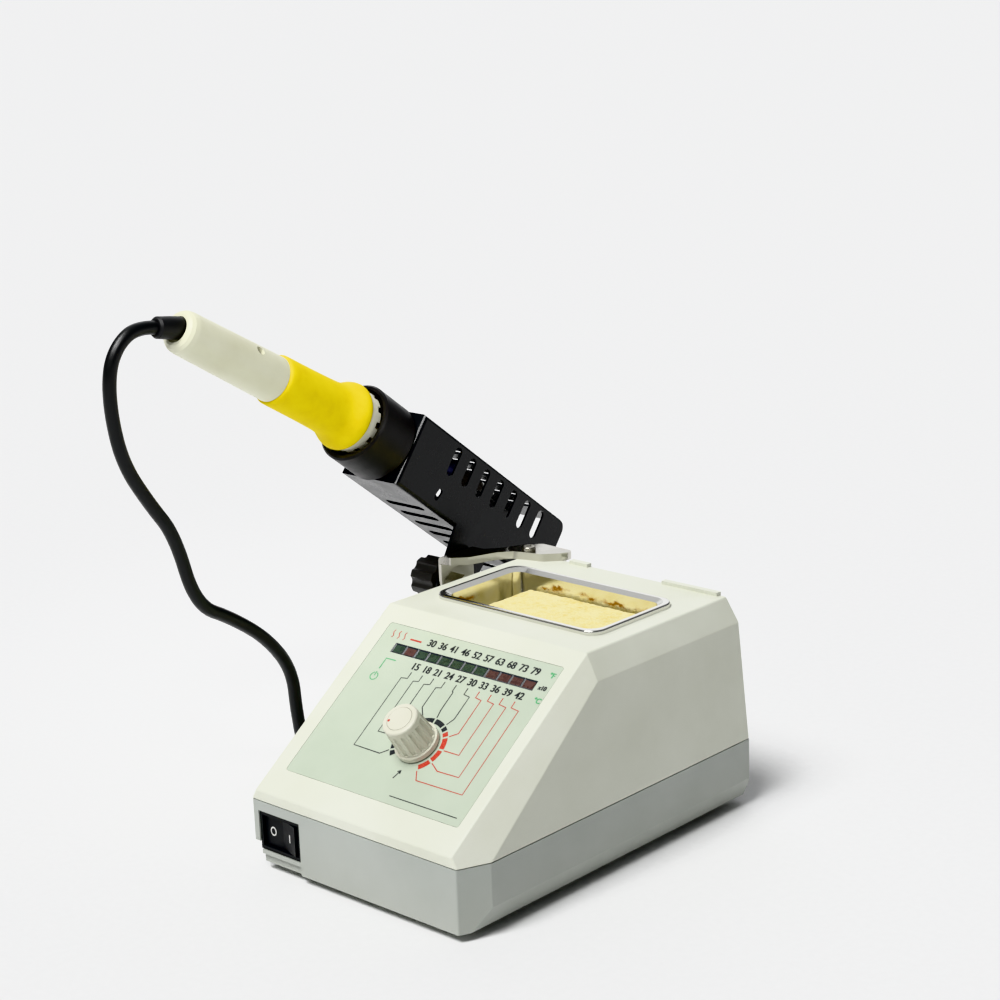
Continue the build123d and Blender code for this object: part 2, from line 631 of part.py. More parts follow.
def front_ring():
    """The handle's front ring, notched round its edge, with the plate that carries the barrel."""
    ring = turned([
        (GRIP_END - 3.9, 7.0), (GRIP_END - 3.9, 8.0), (GRIP_END + 0.05, 8.0), (GRIP_END + 0.05, 12.8),
        (RING_END, 12.8), (RING_END, 11.0), (99, 11.0), (99, BARREL_R + 0.05), (96.6, BARREL_R + 0.05),
        (96.6, 7.0),
    ])
    for k in range(12):
        ring -= Rot(30 * k, 0, 0) * Pos(RING_END, 12.4, 0) * Box(3.2, 4.4, 2.6)
    for k in range(3):
        ring -= Rot(120 * k, 0, 0) * Pos(0, 8.4, 0) * rod_x(0.95, 97, 101)
    return IRON * ring


def front_screws():
    screw = Rot(0, 90, 0) * pan_screw(0.9, 1.9, 1.8, 1.0)
    return [IRON * Rot(120 * k, 0, 0) * Pos(99.05, 8.4, 0) * screw for k in range(3)]


def barrel():
    """The stainless tube round the heater, with a row of vent holes."""
    tube = turned([
        (94.5, BARREL_R - 0.5), (94.5, 6.6), (96.5, 6.6), (96.5, BARREL_R), (BARREL_END, BARREL_R),
        (BARREL_END, BARREL_R - 0.5),
    ])
    for k in range(6):
        tube -= Rot(60 * k, 0, 0) * Pos(112, 4, 0) * Rot(-90, 0, 0) * rod(1.1, -2, 4)
    return IRON * (tube - Pos(156, 0, 0) * Rot(-90, 0, 0) * rod(1.3, 2, 8))


def heater():
    """The ceramic heating rod and the insulator that holds it."""
    rod_part = turned([(86, 0), (86, 5.9), (94, 5.9), (94, 2.5), (146, 2.5), (146, 0)])
    return IRON * rod_part


def tip():
    """A plated copper bit whose hollow shank fits over the heater inside the barrel."""
    return IRON * turned([
        (120, 2.7), (120, 4.35), (BARREL_END + 1, 4.35), (BARREL_END + 1, 3.3), (174, 3.3), (191.2, 0.7),
        (TIP_END, 0), (147, 0), (147, 2.7),
    ])


def tip_screw():
    screw = Pos(156, 0, 0) * Rot(-90, 0, 0) * (rod(1.25, 4.4, 6.4) - Pos(0, 0, 6.3) * Box(3, 0.5, 0.8))
    return IRON * screw


def strain_relief():
    """A short rubber boot that turns the cord down from the handle's end."""
    angle = math.radians(RELIEF_TILT)
    start = Plane(
        origin=(HOLDER_X, IRON_Y, IRON_Z + 0.5),
        x_dir=(0, -math.cos(angle), math.sin(angle)),
        z_dir=(1, 0, 0),
    )
    boot = turned([
        (-1.5, 0), (-1.5, 4.3), (3.0, 4.3), (RELIEF_L - 1, 4.1), (RELIEF_L - 0.03, 3.4),
        (RELIEF_L - 0.03, 0),
    ])
    return start * boot


def cord_tube(route, name):
    """A round cord along straight runs joined by arcs as large as the runs allow."""
    points = [Vector(p) for p in route]
    runs = [b - a for a, b in zip(points, points[1:])]
    radii = []
    for before, after in zip(runs, runs[1:]):
        half_turn = math.radians(before.get_angle(after)) / 2
        radii.append(0.45 * min(before.length, after.length) / math.tan(half_turn))
    path = FilletPolyline(*points, radius=radii)
    start = Plane(origin=points[0], z_dir=runs[0])
    tube = sweep(start * Circle(CORD_R), path=path)
    expected = math.pi * CORD_R ** 2 * path.length
    print(name, "length", round(path.length, 1), "radii", [round(r, 1) for r in radii])
    print(name, "volume over section times length", round(tube.volume / expected, 4))
    return tube


def cord_coil():
    """The outer form of the four turns of spare cord."""
    outline = make_face(Polyline(
        (COIL_R - 5.4, 1.0), (COIL_R + 5.4, 1.0), (COIL_R + 5.4, 10.4), (COIL_R - 5.4, 10.4), close=True,
    ))
    ring = revolve(Plane.XZ * outline, Axis.Z, 360)
    return Pos(COIL_X, COIL_Y, 0) * fillet(ring.edges(), 1.8)


def cord_tie():
    """A flat strap round the coil's turns."""
    y = COIL_Y + COIL_R
    band = block(-2.5, 2.5, y - 6.7, y + 6.7, 0.0, 11.4) - block(-3, 3, y - 5.8, y + 5.8, 0.9, 10.5)
    return Pos(COIL_X, 0, 0) * band


NODES = {
    "lower_shell": lower_shell,
    "upper_shell": upper_shell,
    "rubber_feet": feet,
    "case_screws": case_screws,
    "front_label": front_label,
    "light_window": light_window,
    "level_lights": level_lights,
    "control_board": control_board,
    "board_screws": board_screws,
    "board_parts": board_parts,
    "heat_sink": heat_sink,
    "dial_control": dial_control,
    "dial_nut": dial_nut,
    "dial_shaft": dial_shaft,
    "dial_knob": dial_knob,
    "dial_cap": dial_cap,
    "switch_frame": switch_frame,
    "power_rocker": rocker,
    "switch_blades": switch_blades,
    "transformer_core": transformer_core,
    "transformer_winding": transformer_winding,
    "transformer_strap": transformer_strap,
    "transformer_bed": transformer_bed,
    "transformer_screws": transformer_screws,
    "iron_cord_bush": lambda: bush(BUSH_X, BUSH_Z, 2.65, 5.0, 3.6, BUSH_L),
    "mains_bush": lambda: bush(30, 14, 3.6, 6.0, 6.8, 7.0),
    "sponge_tray": tray,
    "sponge": sponge,
    "bracket": bracket,
    "bracket_screw": bracket_screw,
    "bracket_nut": bracket_nut,
    "clamp_knob": clamp_knob,
    "clamp_stud": clamp_stud,
    "guard": guard,
    "holder_collar": holder_collar,
    "collar_screws": collar_screws,
    "iron_handle": iron_handle,
    "handle_screw": handle_screw,
    "cord_clamp": cord_clamp,
    "foam_grip": foam_grip,
    "front_ring": front_ring,
    "front_screws": front_screws,
    "barrel": barrel,
    "heater": heater,
    "tip": tip,
    "tip_screw": tip_screw,
    "strain_relief": strain_relief,
    "iron_cord_upper": lambda: cord_tube(UPPER_ROUTE, "upper cord"),
    "iron_cord_lower": lambda: cord_tube(LOWER_ROUTE, "lower cord"),
    "iron_cord_coil": cord_coil,
    "iron_cord_tail": lambda: cord_tube(TAIL_ROUTE, "cord tail"),
    "cord_tie": cord_tie,
}

if __name__ == "__main__":
    os.makedirs("parts", exist_ok=True)
    from_case = Pos(CASE_X, CASE_Y, 0)
    for node, make in NODES.items():
        made = make()
        pieces = made if isinstance(made, list) else made.solids()
        placed = [from_case * piece for piece in pieces]
        whole = placed[0] if len(placed) == 1 else Compound(children=placed)
        export_step(whole, "parts/" + node + ".step")
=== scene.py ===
import math

import bpy
from mathutils import Matrix, Vector


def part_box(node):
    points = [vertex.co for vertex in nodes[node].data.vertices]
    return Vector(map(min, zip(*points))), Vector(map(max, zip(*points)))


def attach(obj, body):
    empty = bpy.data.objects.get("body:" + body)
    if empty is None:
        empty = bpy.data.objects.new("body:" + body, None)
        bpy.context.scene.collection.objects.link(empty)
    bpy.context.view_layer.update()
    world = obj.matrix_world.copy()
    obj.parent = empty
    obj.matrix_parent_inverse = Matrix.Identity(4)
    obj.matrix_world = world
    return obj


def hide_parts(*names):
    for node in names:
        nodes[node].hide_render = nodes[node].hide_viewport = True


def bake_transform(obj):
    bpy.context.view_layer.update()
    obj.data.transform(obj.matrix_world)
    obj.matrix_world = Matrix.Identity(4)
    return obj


# The looks of a soldering iron station, around its CAD frame. Places are given from the centre of
# its case, on the table: in millimetres through at(), and in metres along the cord.

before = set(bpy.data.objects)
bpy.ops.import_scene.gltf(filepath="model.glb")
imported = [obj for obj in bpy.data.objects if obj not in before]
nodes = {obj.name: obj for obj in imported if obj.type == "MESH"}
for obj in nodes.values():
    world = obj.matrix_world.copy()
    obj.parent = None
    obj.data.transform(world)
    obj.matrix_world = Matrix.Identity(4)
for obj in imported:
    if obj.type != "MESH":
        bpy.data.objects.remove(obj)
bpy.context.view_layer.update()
low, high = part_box("lower_shell")
CASE = Vector(((low.x + high.x) / 2, (low.y + high.y) / 2, 0))

MM = 0.001
PANEL_ANGLE = math.radians(35.9)
IRON_TILT = math.radians(30.7)
OFF_TILT = math.radians(-7)


def at(x, y, z):
    """A place given in millimetres from the case's centre."""
    return CASE + Vector((x, y, z)) * MM


def tilted(x, y, z, angle):
    """A frame turned about X: its second axis points rearwards and up by the angle."""
    return Matrix.Translation(at(x, y, z)) @ Matrix.Rotation(angle, 4, "X")


# The panel's frame starts at the middle of its top edge
PANEL = tilted(0, -6.5, 84.5, PANEL_ANGLE)
# The iron's frame starts at its handle's rear end, and its third axis points towards the tip
IRON = tilted(-87, -71.2, 198.4, -(math.pi / 2 + IRON_TILT))
# The rocker's frame is tipped to off
SWITCH = Matrix.Translation(at(-38.1, -76.9, 15.6)) @ Matrix.Rotation(OFF_TILT, 4, "Z")


# Camera

CAMERA_PLACE = at(546.68, -580.75, 345.73)
CAMERA_TURN, CAMERA_LIFT, CAMERA_ROLL = math.radians(43.05), math.radians(15.02), math.radians(-2.11)
CAMERA_LENS = 80.8
CAMERA_SENSOR = 36


def place_camera():
    """A camera turned round the case, lifted, and rolled about its own line of sight."""
    turn, lift, roll = CAMERA_TURN, CAMERA_LIFT, CAMERA_ROLL
    back = Vector((math.sin(turn) * math.cos(lift), -math.cos(turn) * math.cos(lift), math.sin(lift)))
    right = Vector((math.cos(turn), math.sin(turn), 0))
    up = back.cross(right)
    rolled_right = right * math.cos(roll) + up * math.sin(roll)
    rolled_up = up * math.cos(roll) - right * math.sin(roll)
    axes = Matrix((rolled_right, rolled_up, back)).transposed().to_4x4()
    camera = bpy.data.objects.new("camera", bpy.data.cameras.new("camera"))
    camera.data.lens = CAMERA_LENS
    camera.data.sensor_width = CAMERA_SENSOR
    camera.matrix_world = Matrix.Translation(CAMERA_PLACE) @ axes
    bpy.context.scene.collection.objects.link(camera)
    bpy.context.scene.camera = camera


place_camera()


# Selecting, and lines that become tubes

def select_only(piece):
    """Makes a piece the only one that operators act on."""
    bpy.ops.object.select_all(action="DESELECT")
    piece.select_set(True)
    bpy.context.view_layer.objects.active = piece


def line_along(name, kind, places):
    """A curve object with one spline of a kind along places in metres."""
    curve = bpy.data.curves.new(name, "CURVE")
    curve.dimensions = "3D"
    spline = curve.splines.new(kind)
    spline.points.add(len(places) - 1)
    for point, place in zip(spline.points, places):
        point.co = (*place, 1)
    line = bpy.data.objects.new(name, curve)
    bpy.context.scene.collection.objects.link(line)
    return line


def tube_of(line, width, rounding):
    """Turns a line into a capped tube of mesh."""
    line.data.bevel_depth = width / 2
    line.data.bevel_resolution = rounding
    line.data.use_fill_caps = True
    select_only(line)
    bpy.ops.object.convert(target="MESH")
    return bpy.context.object


# Cord: its route in metres from the case's centre, from the iron to the bush in the rear wall

CORD_D = 5.2 * MM
COIL_X, COIL_Y, COIL_R = -0.035, 0.128, 0.028
COIL_TURNS = 3.5
COIL_PITCH = CORD_D + 0.1 * MM
# Its two pieces meet at JOIN, and past LANDING it stays put
JOIN = (-0.087, -0.0755, 0.108)
LANDING = (-0.087, -0.0218, 0.0176)
UPPER_ROUTE = [
    (-0.087, -0.08106, 0.20065), (-0.087, -0.0894, 0.20212), (-0.0872, -0.098, 0.1972),
    (-0.0875, -0.1028, 0.188), (-0.0876, -0.1032, 0.172), (-0.0875, -0.0996, 0.1535),
    (-0.0872, -0.0896, 0.1368), (-0.087, -0.0791, 0.1224), JOIN,
]
LOWER_ROUTE = [
    JOIN, (-0.087, -0.0718, 0.0932), (-0.0872, -0.0546, 0.0838), (-0.0876, -0.037, 0.0705),
    (-0.0878, -0.0253, 0.0545), (-0.0876, -0.0244, 0.036), LANDING,
    (-0.086, -0.0095, 0.0046), (-0.0846, 0.009, 0.0027), (-0.082, 0.0295, 0.0026),
    (-0.0826, 0.052, 0.0026), (-0.078, 0.074, 0.0026), (-0.070, 0.093, 0.0026),
    (-0.0662, 0.111, 0.0027),
]
TAIL_ROUTE = [(-0.0042, 0.1184, 0.0086), (-0.0047, 0.110, 0.0113), (-0.005, 0.1022, 0.012)]


def smooth_step(value, start, end):
    """Rises from 0 at one value to 1 at another, level at both."""
    share = min(max((value - start) / (end - start), 0), 1)
    return share * share * (3 - 2 * share)


def coil_points():
    """Turns laid outside, inside, then on top inside and on top outside."""
    per_turn = 16
    points = []
    for k in range(int(COIL_TURNS * per_turn) + 1):
        turn = k / per_turn
        angle = math.pi - 2 * math.pi * turn
        inner = smooth_step(turn, 0.85, 1.15) - smooth_step(turn, 2.85, 3.15)
        raised = smooth_step(turn, 1.85, 2.15)
        radius = (COIL_R + (0.5 - inner) * COIL_PITCH) / math.cos(math.pi / per_turn)
        height = CORD_D / 2 + raised * COIL_PITCH
        points.append((COIL_X + radius * math.cos(angle), COIL_Y + radius * math.sin(angle), height))
    return points


def cord(name, route):
    """A smooth round cord along a route, as a mesh tube, and the points it follows."""
    line = line_along(name, "NURBS", [CASE + Vector(place) for place in route])
    spline = line.data.splines[0]
    spline.order_u = 3
    spline.use_endpoint_u = True
    spline.resolution_u = 8
    bpy.context.view_layer.update()
    followed = bpy.data.meshes.new_from_object(line)
    path = [tuple(vertex.co) for vertex in followed.vertices]
    bpy.data.meshes.remove(followed)
    piece = tube_of(line, CORD_D, 6)
    for face in piece.data.polygons:
        face.use_smooth = True
    return piece, path


def iron_cords():
    """The stretch from the iron down to the join, and the one that lies on the table."""
    upper, path = cord("cord_from_iron", UPPER_ROUTE)
    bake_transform(upper)
    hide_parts("iron_cord_upper")
    lower, path = cord("cord_to_case", LOWER_ROUTE + coil_points() + TAIL_ROUTE)
    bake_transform(lower)
    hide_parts("iron_cord_lower", "iron_cord_coil", "iron_cord_tail")
    return upper, lower


cord_from_iron, cord_to_case = iron_cords()


# Materials

NOISE, CELLS = "ShaderNodeTexNoise", "ShaderNodeTexVoronoi"
RAMP, RANGE, MATH = "ShaderNodeValToRGB", "ShaderNodeMapRange", "ShaderNodeMath"
BUMP, AXES = "ShaderNodeBump", "ShaderNodeSeparateXYZ"


def linear(code):
    """An sRGB hex colour as linear values."""
    parts = [int(code[k:k + 2], 16) / 255 for k in (1, 3, 5)]
    return (*[c / 12.92 if c <= 0.04045 else ((c + 0.055) / 1.055) ** 2.4 for c in parts], 1)


def wire(tree, node, sockets):
    """Sets a node's sockets, or links into them."""
    for socket, value in sockets.items():
        if isinstance(value, bpy.types.NodeSocket):
            tree.links.new(value, node.inputs[socket])
        else:
            node.inputs[socket].default_value = value


def add(tree, kind, out, sockets, stops=(), **settings):
    """Adds a node with its settings, links and colour stops, and gives one of its outputs."""
    made = tree.nodes.new(kind)
    for name, value in settings.items():
        setattr(made, name, value)
    for k, (place, code) in enumerate(stops):
        elements = made.color_ramp.elements
        element = elements[k] if k < len(elements) else elements.new(place)
        element.position = place
        element.color = linear(code)
    wire(tree, made, sockets)
    return made.outputs[out]


def grain(size, detail=3, rough=0.5):
    """Values for noise whose features are about a size in millimetres."""
    return {"Scale": 1 / (size * MM), "Detail": detail, "Roughness": rough}


def span(from_low, from_high, to_low, to_high):
    """Values that carry one range onto another."""
    return {"From Min": from_low, "From Max": from_high, "To Min": to_low, "To Max": to_high}


def relief(strength, depth):
    """Values for a bump of a depth in millimetres."""
    return {"Strength": strength, "Distance": depth * MM}


def begin(name):
    """A material's node tree, its principled shader and its object coordinates."""
    material = bpy.data.materials.new(name)
    material.use_nodes = True
    tree = material.node_tree
    return material, tree, tree.nodes["Principled BSDF"], add(tree, "ShaderNodeTexCoord", "Object", {})


def moulded_plastic(name, light, dark, roughness, texture, depth, spread=0.06, ior=1.54):
    # Moulded thermoplastic: an even colour with faint flow shading, satin where it is handled, and
    # the mould's own fine texture
    material, tree, shader, place = begin(name)
    flow = add(tree, NOISE, "Fac", {"Vector": place, **grain(22, 4)})
    handled = add(tree, NOISE, "Fac", {"Vector": place, **grain(7, 5, 0.6)})
    skin = add(tree, NOISE, "Fac", {"Vector": place, **grain(texture, 2)})
    wire(tree, shader, {
        "Base Color": add(tree, RAMP, "Color", {"Fac": flow}, stops=((0.3, dark), (0.7, light))),
        "Roughness": add(tree, RANGE, "Result", {
            "Value": handled, **span(0.3, 0.7, roughness - spread, roughness + spread)}),
        "Normal": add(tree, BUMP, "Normal", {"Height": skin, **relief(0.35, depth)}),
        "IOR": ior,
    })
    return material


def plated_metal(name, light, dark, roughness, wave=9.0):
    # Steel, plated and polished: mirror-like, with fine scratches one way and faint waves in the sheet
    material, tree, shader, place = begin(name)
    cloud = add(tree, NOISE, "Fac", {"Vector": place, **grain(12, 5)})
    drawn = add(tree, "ShaderNodeMapping", "Vector", {"Vector": place, "Scale": (1, 14, 14)})
    scratches = add(tree, NOISE, "Fac", {"Vector": drawn, **grain(4, 6, 0.7)})
    waves = add(tree, NOISE, "Fac", {"Vector": place, **grain(wave, 1)})
    sheet = add(tree, BUMP, "Normal", {"Height": waves, **relief(0.35, 0.12)})
    wire(tree, shader, {
        "Base Color": add(tree, RAMP, "Color", {"Fac": cloud}, stops=((0.3, dark), (0.7, light))),
        "Roughness": add(tree, RANGE, "Result", {
            "Value": scratches, **span(0.3, 0.7, roughness * 0.75, roughness * 1.25)}),
        "Normal": add(tree, BUMP, "Normal", {"Height": scratches, "Normal": sheet, **relief(0.12, 0.02)}),
        "Metallic": 1.0,
    })
    return material


def case_abs(name, light, dark):
    # ABS, spark-textured in the mould: satin off-white with a grain drawn at half a millimetre so
    # that it shows, a little yellowed in patches, dust-specked, and with painted shade towards its foot
    material, tree, shader, place = begin(name)
    aged = add(tree, NOISE, "Fac", {"Vector": place, **grain(35, 4)})
    colour = add(tree, RAMP, "Color", {"Fac": aged}, stops=((0.32, dark), (0.68, light)))
    height = add(tree, AXES, "Z", {"Vector": place})
    # Painted shade: over the lowest 30 mm the colour is mixed towards grey, most at the table
    foot = add(tree, RANGE, "Result", {"Value": height, **span(0.0, 30 * MM, 0.22, 0.0)})
    fine = add(tree, NOISE, "Fac", {"Vector": place, **grain(1.6, 6, 0.75)})
    specks = add(tree, RANGE, "Result", {"Value": fine, **span(0.64, 0.74, 0.0, 0.25)})
    # The stronger of the painted shade and the real dust specks, at each point
    shade_and_dust = add(tree, MATH, "Value", {0: foot, 1: specks}, operation="MAXIMUM")
    handled = add(tree, NOISE, "Fac", {"Vector": place, **grain(6, 5)})
    spark = add(tree, NOISE, "Fac", {"Vector": place, **grain(0.55, 2)})
    shaded_and_dusty = add(tree, "ShaderNodeMix", 2, {0: shade_and_dust, 6: colour, 7: linear("#B5B3A4")}, data_type="RGBA")
    wire(tree, shader, {
        "Base Color": shaded_and_dusty,
        "Roughness": add(tree, RANGE, "Result", {"Value": handled, **span(0.3, 0.7, 0.42, 0.56)}),
        "Normal": add(tree, BUMP, "Normal", {"Height": spark, **relief(0.5, 0.05)}),
        "IOR": 1.53,
    })
    return material


def label_film():
    # Polyester film, printed on its back: pale green under a smooth gloss, with the slight waves of
    # its glue
    material, tree, shader, place = begin("label_polyester_printed")
    cloud = add(tree, NOISE, "Fac", {"Vector": place, **grain(18)})
    rubbed = add(tree, NOISE, "Fac", {"Vector": place, **grain(5, 4)})
    glue = add(tree, NOISE, "Fac", {"Vector": place, **grain(14, 1)})
    wire(tree, shader, {
        "Base Color": add(tree, RAMP, "Color", {"Fac": cloud}, stops=((0.25, "#B7C1AF"), (0.75, "#BDC6B5"))),
        "Roughness": add(tree, RANGE, "Result", {"Value": rubbed, **span(0.3, 0.7, 0.28, 0.33)}),
        "Normal": add(tree, BUMP, "Normal", {"Height": glue, **relief(0.15, 0.03)}),
        "IOR": 1.57,
    })
    return material


def screen_ink(name, code, thin):
    # Screen ink: dense and flat, a little paler and duller where the mesh printed thin
    material, tree, shader, place = begin(name)
    mesh = add(tree, NOISE, "Fac", {"Vector": place, **grain(0.6, 4)})
    wire(tree, shader, {
        "Base Color": add(tree, RAMP, "Color", {"Fac": mesh}, stops=((0.25, thin), (0.6, code))),
        "Roughness": add(tree, RANGE, "Result", {"Value": mesh, **span(0.3, 0.7, 0.32, 0.45)}),
        "IOR": 1.5,
    })
    return material


def light_epoxy(name, middle, edge):
    # Tinted epoxy, cast, and unlit: dark and glossy, paler where its diffuser shows through
    material, tree, shader, place = begin(name)
    cloud = add(tree, NOISE, "Fac", {"Vector": place, **grain(2.2, 2)})
    wire(tree, shader, {
        "Base Color": add(tree, RAMP, "Color", {"Fac": cloud}, stops=((0.3, edge), (0.7, middle))),
        "Roughness": add(tree, RANGE, "Result", {"Value": cloud, **span(0.3, 0.7, 0.22, 0.34)}),
        "IOR": 1.52,
    })
    return material


def tray_stainless():
    # Stainless steel, deep drawn and polished: bright and silvery, with thin brown tide marks in
    # patches where the sponge's water dries, 79 to 83 mm above the table
    material, tree, shader, place = begin("tray_stainless_drawn")
    height = add(tree, AXES, "Z", {"Vector": place})
    ragged = add(tree, NOISE, "Fac", {"Vector": place, **grain(5, 6, 0.65)})
    shore = add(tree, RANGE, "Result", {"Value": ragged, **span(0.25, 0.75, -82.8 * MM, -79.0 * MM)})
    above = add(tree, MATH, "Value", {0: height, 1: shore}, operation="ADD")
    away = add(tree, MATH, "Value", {0: above}, operation="ABSOLUTE")
    line = add(tree, RANGE, "Result", {"Value": away, **span(0.2 * MM, 1.2 * MM, 0.85, 0.0)})
    wet = add(tree, NOISE, "Fac", {"Vector": place, **grain(11)})
    patches = add(tree, RANGE, "Result", {"Value": wet, **span(0.46, 0.6, 0.0, 1.0)})
    stain = add(tree, MATH, "Value", {0: line, 1: patches}, operation="MULTIPLY")
    waves = add(tree, NOISE, "Fac", {"Vector": place, **grain(11, 2)})
    wire(tree, shader, {
        "Base Color": add(tree, RAMP, "Color", {"Fac": stain},
                          stops=((0.0, "#E3E2DD"), (0.5, "#B08B50"), (1.0, "#7A5426"))),
        "Roughness": add(tree, RANGE, "Result", {"Value": stain, **span(0.0, 1.0, 0.2, 0.55)}),
        "Normal": add(tree, BUMP, "Normal", {"Height": waves, **relief(0.3, 0.12)}),
        "Metallic": 1.0,
    })
    return material


def guard_enamel():
    # Stoving enamel on folded steel: gloss black with a faint orange peel, dulled by flux smoke
    material, tree, shader, place = begin("guard_enamel_stoved")
    soot = add(tree, NOISE, "Fac", {"Vector": place, **grain(14, 5, 0.6)})
    peel = add(tree, NOISE, "Fac", {"Vector": place, **grain(1.8, 2)})
    wire(tree, shader, {
        "Base Color": add(tree, RAMP, "Color", {"Fac": soot}, stops=((0.35, "#050608"), (0.75, "#0B0C0E"))),
        "Roughness": add(tree, RANGE, "Result", {"Value": soot, **span(0.35, 0.75, 0.22, 0.38)}),
        "Normal": add(tree, BUMP, "Normal", {"Height": peel, **relief(0.3, 0.03)}),
        "IOR": 1.45, "Coat Weight": 0.06, "Coat Roughness": 0.16,
    })
    return material


def collar_phenolic():
    # Phenolic, compression moulded with wood flour: near black and satin, finely speckled with brown
    material, tree, shader, place = begin("collar_phenolic_moulded")
    flour = add(tree, NOISE, "Fac", {"Vector": place, **grain(0.9, 6, 0.75)})
    worn = add(tree, NOISE, "Fac", {"Vector": place, **grain(5, 4)})
    wire(tree, shader, {
        "Base Color": add(tree, RAMP, "Color", {"Fac": flour},
                          stops=((0.35, "#0B0A0A"), (0.6, "#12100F"), (0.78, "#241D17"))),
        "Roughness": add(tree, RANGE, "Result", {"Value": worn, **span(0.3, 0.7, 0.34, 0.5)}),
        "Normal": add(tree, BUMP, "Normal", {"Height": flour, **relief(0.2, 0.04)}),
        "IOR": 1.6, "Specular IOR Level": 0.3,
    })
    return material


def grip_foam():
    # Foamed rubber with a moulded skin: bright yellow, soft and matt, a little darker where it is held
    material, tree, shader, place = begin("grip_foam_skinned")
    held = add(tree, NOISE, "Fac", {"Vector": place, **grain(9, 5, 0.6)})
    bubbles = add(tree, CELLS, "Distance", {"Vector": place, "Scale": 1 / (0.45 * MM)})
    wire(tree, shader, {
        "Base Color": add(tree, RAMP, "Color", {"Fac": held},
                          stops=((0.28, "#E4C90E"), (0.5, "#ECD418"), (0.8, "#F2DC24"))),
        "Roughness": add(tree, RANGE, "Result", {"Value": held, **span(0.3, 0.7, 0.6, 0.75)}),
        "Normal": add(tree, BUMP, "Normal", {"Height": bubbles, **relief(0.3, 0.08)}),
        "IOR": 1.45, "Specular IOR Level": 0.25,
    })
    return material


def sponge_cellulose():
    # Regenerated cellulose, foamed: pale yellow, dry and dusty, with open pores from a fraction of a
    # millimetre to a couple of millimetres
    material, tree, shader, place = begin("sponge_cellulose_open_cell")
    small = add(tree, CELLS, "Distance", {"Vector": place, "Scale": 1 / (0.8 * MM)})
    large = add(tree, CELLS, "Distance", {"Vector": place, "Scale": 1 / (2.6 * MM)})
    pores = add(tree, MATH, "Value", {0: small, 1: large}, operation="MULTIPLY")
    blotch = add(tree, NOISE, "Fac", {"Vector": place, **grain(8, 4)})
    # Painted shade in the pores: the colour is darker in the pits that the bump makes, added to the sponge's
    # own blotches
    pore_shade_and_blotch = add(tree, MATH, "Value", {0: pores, 1: blotch}, operation="ADD")
    wire(tree, shader, {
        "Base Color": add(tree, RAMP, "Color", {"Fac": pore_shade_and_blotch},
                          stops=((0.38, "#E0CC7C"), (0.62, "#E9DC9A"), (0.95, "#F0E6B0"))),
        "Roughness": add(tree, RANGE, "Result", {"Value": blotch, **span(0.3, 0.7, 0.8, 0.95)}),
        "Normal": add(tree, BUMP, "Normal", {"Height": pores, **relief(0.8, 0.6)}),
        "IOR": 1.4,
    })
    return material


def barrel_stainless():
    # Stainless tube, drawn: straw, brown and blue heat tints that deepen towards the tip
    material, tree, shader, place = begin("barrel_stainless_heat_tinted")
    along = add(tree, AXES, "Y", {"Vector": place})
    heat = add(tree, RANGE, "Result", {"Value": along, **span(at(0, 15, 0).y, at(0, 68, 0).y, 0, 1)})
    patchy = add(tree, NOISE, "Fac", {"Vector": place, **grain(6, 4)})
    uneven = add(tree, RANGE, "Result", {"Value": patchy, **span(0.3, 0.7, -0.12, 0.12)})
    tint = add(tree, MATH, "Value", {0: heat, 1: uneven}, operation="ADD")
    drawn = add(tree, NOISE, "Fac", {"Vector": place, **grain(1.5, 4)})
    wire(tree, shader, {
        "Base Color": add(tree, RAMP, "Color", {"Fac": tint},
                          stops=((0.0, "#B9B6AE"), (0.35, "#B59A62"), (0.6, "#7E5A45"), (0.85, "#4A4A62"))),
        "Roughness": add(tree, RANGE, "Result", {"Value": drawn, **span(0.3, 0.7, 0.25, 0.42)}),
        "Metallic": 1.0,
    })
    return material


def tip_iron():
    # Iron plate over copper, tinned at its end: grey scale behind, bright solder on the last few
    # millimetres
    material, tree, shader, place = begin("tip_iron_plated")
    along = add(tree, AXES, "Y", {"Vector": place})
    tinned = add(tree, RANGE, "Result", {"Value": along, **span(at(0, 84, 0).y, at(0, 87, 0).y, 0, 1)})
    smooth = add(tree, RANGE, "Result", {"Value": tinned, **span(0, 1, 0.5, 0.1)})
    scale = add(tree, NOISE, "Fac", {"Vector": place, **grain(1.2, 5)})
    crust = add(tree, RANGE, "Result", {"Value": scale, **span(0.3, 0.7, 0, 0.12)})
    wire(tree, shader, {
        "Base Color": add(tree, RAMP, "Color", {"Fac": tinned}, stops=((0.2, "#4B4845"), (0.8, "#C9C9C6"))),
        "Roughness": add(tree, MATH, "Value", {0: smooth, 1: crust}, operation="ADD"),
        "Normal": add(tree, BUMP, "Normal", {"Height": scale, **relief(0.3, 0.06)}),
        "Metallic": 1.0,
    })
    return material


def rubber(name, light, dark, roughness, texture):
    # Rubber, moulded or extruded: near black, with a bloom that dulls it in patches
    material, tree, shader, place = begin(name)
    bloom = add(tree, NOISE, "Fac", {"Vector": place, **grain(9, 5, 0.6)})
    skin = add(tree, NOISE, "Fac", {"Vector": place, **grain(texture)})
    wire(tree, shader, {
        "Base Color": add(tree, RAMP, "Color", {"Fac": bloom}, stops=((0.3, dark), (0.75, light))),
        "Roughness": add(tree, RANGE, "Result", {
            "Value": bloom, **span(0.3, 0.75, roughness - 0.06, roughness + 0.1)}),
        "Normal": add(tree, BUMP, "Normal", {"Height": skin, **relief(0.25, 0.04)}),
        "IOR": 1.52,
    })
    return material


